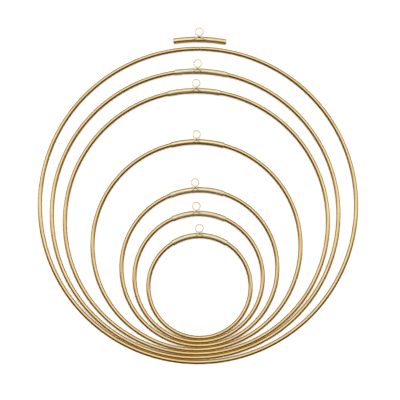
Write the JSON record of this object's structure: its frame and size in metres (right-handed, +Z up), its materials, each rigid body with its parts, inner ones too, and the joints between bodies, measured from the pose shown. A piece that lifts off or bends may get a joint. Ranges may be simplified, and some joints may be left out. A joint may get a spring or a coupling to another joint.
{
  "type": "wreath frame",
  "caption": "Nested set of open brass wire rings for wreaths and hoops, each closed at the top by a short curved tube sleeve with a small hanging eye; the largest ring has its sleeve off.",
  "frame": {"origin": "under the middle of the whole nested set, on the table it lies on", "axes": "+Z up from the table, square to the rings; +Y from the place where all the rings touch towards their sleeves and hanging eyes; +X to the right, seen from above"},
  "size_m": [0.2998, 0.3152, 0.0078],
  "materials": {
    "wire": "drawn satin, yellow gold with darker lines",
    "sleeve": "satin, pale gold",
    "eye": "satin, very pale gold"
  },
  "bodies": {
    "ring_300": {"ring_300": "wire"},
    "loose_sleeve_300": {"sleeve_300": "sleeve", "eye_300": "eye"},
    "ring_270": {"ring_270": "wire"},
    "sleeve_270": {"sleeve_270": "sleeve", "eye_270": "eye"},
    "ring_250": {"ring_250": "wire"},
    "sleeve_250": {"sleeve_250": "sleeve", "eye_250": "eye"},
    "ring_200": {"ring_200": "wire"},
    "sleeve_200": {"sleeve_200": "sleeve", "eye_200": "eye"},
    "ring_150": {"ring_150": "wire"},
    "sleeve_150": {"sleeve_150": "sleeve", "eye_150": "eye"},
    "ring_125": {"ring_125": "wire"},
    "sleeve_125": {"sleeve_125": "sleeve", "eye_125": "eye"},
    "ring_100": {"ring_100": "wire"},
    "sleeve_100": {"sleeve_100": "sleeve", "eye_100": "eye"}
  },
  "joints": [
    {"name": "loose_sleeve_300_lift", "type": "slide", "parent": "ring_300", "child": "loose_sleeve_300", "axis": [0, 0, 1], "range_m": [0, 0.05]},
    {"name": "ring_270_lift", "type": "slide", "parent": "ring_300", "child": "ring_270", "axis": [0, 0, 1], "range_m": [0, 0.05]},
    {"name": "sleeve_270_turn", "type": "hinge", "parent": "ring_270", "child": "sleeve_270", "pos_m": [-0.00268, -0.0175, 0.00217], "axis": [0, -0.0026, 1], "range_deg": [-90, 55]},
    {"name": "ring_250_lift", "type": "slide", "parent": "ring_300", "child": "ring_250", "axis": [0, 0, 1], "range_m": [0, 0.05]},
    {"name": "sleeve_250_turn", "type": "hinge", "parent": "ring_250", "child": "sleeve_250", "pos_m": [-0.00148, -0.02473, 0.00217], "axis": [0, -0.0029, 1], "range_deg": [-40, 55]},
    {"name": "ring_200_lift", "type": "slide", "parent": "ring_300", "child": "ring_200", "axis": [0, 0, 1], "range_m": [0, 0.05]},
    {"name": "sleeve_200_turn", "type": "hinge", "parent": "ring_200", "child": "sleeve_200", "pos_m": [-0.00138, -0.04684, 0.00218], "axis": [0, -0.0037, 1], "range_deg": [-100, 100]},
    {"name": "ring_150_lift", "type": "slide", "parent": "ring_300", "child": "ring_150", "axis": [0, 0, 1], "range_m": [0, 0.05]},
    {"name": "sleeve_150_turn", "type": "hinge", "parent": "ring_150", "child": "sleeve_150", "pos_m": [0.00132, -0.06739, 0.00218], "axis": [0, -0.0049, 1], "range_deg": [-95, 100]},
    {"name": "ring_125_lift", "type": "slide", "parent": "ring_300", "child": "ring_125", "axis": [0, 0, 1], "range_m": [0, 0.05]},
    {"name": "sleeve_125_turn", "type": "hinge", "parent": "ring_125", "child": "sleeve_125", "pos_m": [0.00062, -0.07658, 0.00219], "axis": [0, -0.0061, 1], "range_deg": [-75, 60]},
    {"name": "ring_100_lift", "type": "slide", "parent": "ring_300", "child": "ring_100", "axis": [0, 0, 1], "range_m": [0, 0.05]},
    {"name": "sleeve_100_turn", "type": "hinge", "parent": "ring_100", "child": "sleeve_100", "pos_m": [0.00142, -0.08506, 0.0022], "axis": [0, -0.0079, 1], "range_deg": [-55, 60]}
  ]
}
